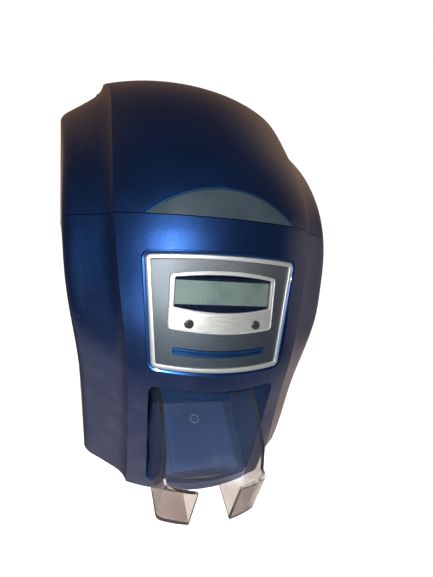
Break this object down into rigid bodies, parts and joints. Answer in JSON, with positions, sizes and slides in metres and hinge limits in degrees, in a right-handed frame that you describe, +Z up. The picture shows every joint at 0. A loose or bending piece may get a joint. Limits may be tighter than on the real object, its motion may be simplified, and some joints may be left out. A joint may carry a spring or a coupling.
{
  "type": "id card printer",
  "caption": "Desktop card printer: domed hinged lid, tilted control panel with display and buttons, card tray in front and card hopper behind.",
  "frame": {"origin": "centre of the whole machine's footprint, on the table", "axes": "+Z up, -Y towards the user and the card tray, X across; X = 0 is the machine's middle plane"},
  "size_m": [0.2064, 0.449, 0.2333],
  "materials": {
    "navy_gloss": "metallic navy, high gloss",
    "panel_blue": "bright blue moulding, gloss",
    "slate_paint": "slate grey, satin",
    "blue_trim": "bright blue metallic rim",
    "silver_trim": "satin silver",
    "brushed_plate": "brushed dark grey",
    "window_tint": "dark navy tinted window",
    "display_glass": "grey green display",
    "button_grey": "satin grey",
    "circuit_green": "solder mask",
    "black_moulding": "fine texture, black",
    "grey_moulding": "fine texture, grey",
    "smoked_clear": "clear smoked plastic",
    "sheet_steel": "zinc plated sheet",
    "ground_steel": "ground bar",
    "roller_rubber": "matt rubber",
    "tacky_rubber": "tacky cleaning rubber",
    "gear_plastic": "white gear plastic",
    "motor_steel": "black motor case",
    "supply_cover": "fibreboard sleeve of the power supply",
    "head_metal": "finned heat sink",
    "ribbon_film": "wound dye film",
    "foot_rubber": "matt rubber"
  },
  "bodies": {
    "root": {"base_casing": "navy_gloss", "rear_housing": "navy_gloss", "base_plate": "sheet_steel", "inner_deck": "black_moulding", "frame_left": "sheet_steel", "frame_right": "sheet_steel", "tie_bars": "ground_steel", "rubber_feet": "foot_rubber", "casing_screws": "ground_steel", "hinge_brackets": "sheet_steel", "hinge_pins": "ground_steel", "panel_dish": "panel_blue", "panel_bezel": "silver_trim", "panel_plate": "brushed_plate", "panel_surround": "silver_trim", "display_window": "window_tint", "display_module": "display_glass", "panel_board": "circuit_green", "slot_throat": "black_moulding", "card_chute": "navy_gloss", "roller_bushes": "gear_plastic", "idler_studs": "ground_steel", "feed_motor": "motor_steel", "card_hopper": "grey_moulding", "cover_pin": "ground_steel", "power_supply": "supply_cover", "main_board": "circuit_green", "power_entry": "black_moulding", "data_ports": "black_moulding", "fan_frame": "black_moulding"},
    "lid": {"lid_shell": "navy_gloss", "lid_badge": "slate_paint", "badge_trim": "blue_trim", "lid_frame": "black_moulding", "head_pivot_pin": "ground_steel"},
    "head": {"print_head": "head_metal"},
    "platen": {"platen_shaft": "ground_steel", "platen_roller": "roller_rubber", "platen_gear": "gear_plastic"},
    "feed_front": {"feed_front_shaft": "ground_steel", "feed_front_roller": "roller_rubber"},
    "feed_rear": {"feed_rear_shaft": "ground_steel", "feed_rear_roller": "roller_rubber"},
    "pick": {"pick_roller": "roller_rubber"},
    "pinch_front": {"pinch_front": "roller_rubber"},
    "pinch_rear": {"pinch_rear": "roller_rubber"},
    "cleaning": {"cleaning_roller": "tacky_rubber"},
    "idler_front": {"idler_front_gear": "gear_plastic"},
    "idler_rear": {"idler_rear_gear": "gear_plastic"},
    "pinion": {"motor_pinion": "ground_steel"},
    "takeup": {"takeup_spool": "ribbon_film"},
    "supply": {"supply_spool": "ribbon_film"},
    "button_left": {"button_left": "button_grey"},
    "button_right": {"button_right": "button_grey"},
    "tray": {"output_tray": "smoked_clear"},
    "weight": {"card_weight": "grey_moulding"},
    "cover": {"hopper_cover": "navy_gloss"},
    "rocker": {"switch_rocker": "black_moulding"},
    "fan": {"fan_rotor": "black_moulding"}
  },
  "joints": [
    {"name": "lid_hinge", "type": "hinge", "parent": "root", "child": "lid", "pos_m": [0, 0.095, 0.19], "axis": [-1, 0, 0], "range_deg": [0, 70]},
    {"name": "head_pivot", "type": "hinge", "parent": "lid", "child": "head", "pos_m": [0, -0.039, 0.1382], "axis": [1, 0, 0], "range_deg": [0, 3], "stiffness_Nm_per_rad": 0.5},
    {"name": "platen_spin", "type": "hinge", "parent": "root", "child": "platen", "pos_m": [0, -0.039, 0.0983], "axis": [1, 0, 0], "continuous": true},
    {"name": "feed_front_spin", "type": "hinge", "parent": "root", "child": "feed_front", "pos_m": [0, -0.104, 0.0983], "axis": [1, 0, 0], "continuous": true},
    {"name": "feed_rear_spin", "type": "hinge", "parent": "root", "child": "feed_rear", "pos_m": [0, 0.026, 0.0983], "axis": [1, 0, 0], "continuous": true},
    {"name": "pick_spin", "type": "hinge", "parent": "root", "child": "pick", "pos_m": [0, 0.146, 0.0988], "axis": [1, 0, 0], "continuous": true},
    {"name": "pinch_front_spin", "type": "hinge", "parent": "root", "child": "pinch_front", "pos_m": [0, -0.104, 0.1122], "axis": [1, 0, 0], "continuous": true},
    {"name": "pinch_rear_spin", "type": "hinge", "parent": "root", "child": "pinch_rear", "pos_m": [0, 0.026, 0.1122], "axis": [1, 0, 0], "continuous": true},
    {"name": "cleaning_spin", "type": "hinge", "parent": "root", "child": "cleaning", "pos_m": [0, 0.063, 0.1162], "axis": [1, 0, 0], "continuous": true},
    {"name": "idler_front_spin", "type": "hinge", "parent": "root", "child": "idler_front", "pos_m": [0, -0.0715, 0.0983], "axis": [1, 0, 0], "continuous": true},
    {"name": "idler_rear_spin", "type": "hinge", "parent": "root", "child": "idler_rear", "pos_m": [0, -0.0065, 0.0983], "axis": [1, 0, 0], "continuous": true},
    {"name": "pinion_spin", "type": "hinge", "parent": "root", "child": "pinion", "pos_m": [0, -0.039, 0.0743], "axis": [1, 0, 0], "continuous": true},
    {"name": "takeup_spin", "type": "hinge", "parent": "root", "child": "takeup", "pos_m": [0, -0.085, 0.14], "axis": [1, 0, 0], "continuous": true},
    {"name": "supply_spin", "type": "hinge", "parent": "root", "child": "supply", "pos_m": [0, 0.004, 0.14], "axis": [1, 0, 0], "continuous": true},
    {"name": "left_button_press", "type": "slide", "parent": "root", "child": "button_left", "axis": [0, 0.8905, -0.4551], "range_m": [0, 0.0008], "stiffness_N_per_m": 700},
    {"name": "right_button_press", "type": "slide", "parent": "root", "child": "button_right", "axis": [0, 0.8905, -0.4551], "range_m": [0, 0.0008], "stiffness_N_per_m": 700},
    {"name": "tray_slide", "type": "slide", "parent": "root", "child": "tray", "axis": [0, -1, 0], "range_m": [0, 0.045]},
    {"name": "weight_slide", "type": "slide", "parent": "root", "child": "weight", "axis": [0, 0, 1], "range_m": [0, 0.05]},
    {"name": "cover_hinge", "type": "hinge", "parent": "root", "child": "cover", "pos_m": [0, 0.2113, 0.1829], "axis": [-1, 0, 0], "range_deg": [0, 100]},
    {"name": "rocker_tip", "type": "hinge", "parent": "root", "child": "rocker", "pos_m": [-0.028, 0.2185, 0.033], "axis": [-1, 0, 0], "range_deg": [0, 16]},
    {"name": "fan_spin", "type": "hinge", "parent": "root", "child": "fan", "pos_m": [0.058, 0.2155, 0.073], "axis": [0, 1, 0], "continuous": true}
  ],
  "couplings": [
    {"joint": "feed_front_spin", "follows": "platen_spin", "ratio": 1},
    {"joint": "feed_rear_spin", "follows": "platen_spin", "ratio": 1},
    {"joint": "idler_front_spin", "follows": "platen_spin", "ratio": -0.75477},
    {"joint": "idler_rear_spin", "follows": "platen_spin", "ratio": -0.75477},
    {"joint": "pinion_spin", "follows": "platen_spin", "ratio": -1.4061},
    {"joint": "pinch_front_spin", "follows": "platen_spin", "ratio": -2.25},
    {"joint": "pinch_rear_spin", "follows": "platen_spin", "ratio": -2.25},
    {"joint": "cleaning_spin", "follows": "platen_spin", "ratio": -1.125},
    {"joint": "supply_spin", "follows": "takeup_spin", "ratio": 1}
  ]
}
